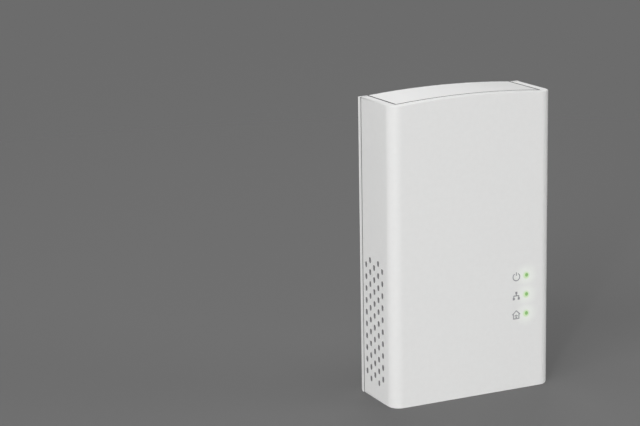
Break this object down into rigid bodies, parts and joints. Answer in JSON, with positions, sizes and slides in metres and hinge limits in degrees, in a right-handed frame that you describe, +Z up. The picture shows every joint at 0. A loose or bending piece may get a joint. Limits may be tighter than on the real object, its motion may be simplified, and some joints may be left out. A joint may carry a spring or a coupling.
{
  "type": "powerline adapter",
  "caption": "Flat upright white box that hangs on its own round earthed mains plug, with side vents, status lamps, a network port and push buttons underneath.",
  "frame": {"origin": "on the plug's axis in the plane of the rear face that meets the wall socket", "axes": "+Y into the wall along the pins, +Z up, +X to the right seen from the front; the front faces -Y"},
  "size_m": [0.0596, 0.06, 0.1012],
  "materials": {
    "shell_white": "fine satin moulding",
    "plug_white": "satin moulding",
    "nickel_plate": "nickel plate",
    "terminal_brass": "bare",
    "screw_steel": "zinc plate",
    "insulating_film": "thin film",
    "board_green": "solder mask",
    "jack_metal": "tin plate",
    "jack_black": "moulded",
    "contact_gold": "gold plate",
    "button_grey": "satin moulding",
    "button_dark": "moulded",
    "switch_black": "moulded",
    "switch_plunger": "moulded",
    "lamp_green": "clear, lit from behind",
    "led_body": "moulded",
    "baffle_black": "moulded",
    "fuse_brown": "moulded",
    "disc_blue": "dipped resin",
    "film_yellow": "moulded box",
    "ferrite": "sintered",
    "copper_wire": "enamelled",
    "winding_tape": "tape",
    "bobbin_black": "moulded",
    "can_sleeve": "plastic sleeve on a can",
    "chip_black": "moulded",
    "thermal_grey": "soft pad",
    "sink_aluminium": "extruded",
    "crystal_can": "bright can"
  },
  "bodies": {
    "adapter": {"front_cover": "shell_white", "rear_housing": "shell_white", "housing_screws": "screw_steel", "plug_body": "plug_white", "line_pin": "nickel_plate", "neutral_pin": "nickel_plate", "line_terminal": "terminal_brass", "neutral_terminal": "terminal_brass", "earth_strap": "nickel_plate", "earth_socket": "nickel_plate", "insulating_sheet": "insulating_film", "main_board": "board_green", "board_screws": "screw_steel", "jack_shield": "jack_metal", "jack_insert": "jack_black", "jack_contacts": "contact_gold", "pair_switch": "switch_black", "reset_switch": "switch_black", "power_light_pipe": "lamp_green", "link_light_pipe": "lamp_green", "network_light_pipe": "lamp_green", "power_led": "led_body", "link_led": "led_body", "network_led": "led_body", "light_baffle": "baffle_black", "fuse": "fuse_brown", "varistor": "disc_blue", "filter_capacitor": "film_yellow", "choke_core": "ferrite", "choke_windings": "copper_wire", "bridge_rectifier": "chip_black", "bulk_capacitors": "can_sleeve", "transformer_core": "ferrite", "transformer_bobbin": "bobbin_black", "transformer_winding": "winding_tape", "power_controller": "chip_black", "safety_capacitor": "disc_blue", "output_diode": "chip_black", "output_capacitor": "can_sleeve", "coupling_transformer": "ferrite", "powerline_chip": "chip_black", "thermal_pad": "thermal_grey", "heat_sink": "sink_aluminium", "memory_chip": "chip_black", "flash_chip": "chip_black", "ethernet_chip": "chip_black", "clock_crystal": "crystal_can", "jack_magnetics": "chip_black"},
    "pair_button": {"pair_button": "button_grey", "pair_plunger": "switch_plunger"},
    "reset_button": {"reset_button": "button_dark", "reset_plunger": "switch_plunger"}
  },
  "joints": [
    {"name": "pair_button_press", "type": "slide", "parent": "adapter", "child": "pair_button", "axis": [0, 0, 1], "range_m": [0, 0.0006], "stiffness_N_per_m": 800},
    {"name": "reset_button_press", "type": "slide", "parent": "adapter", "child": "reset_button", "axis": [0, 0, 1], "range_m": [0, 0.0006], "stiffness_N_per_m": 800}
  ]
}
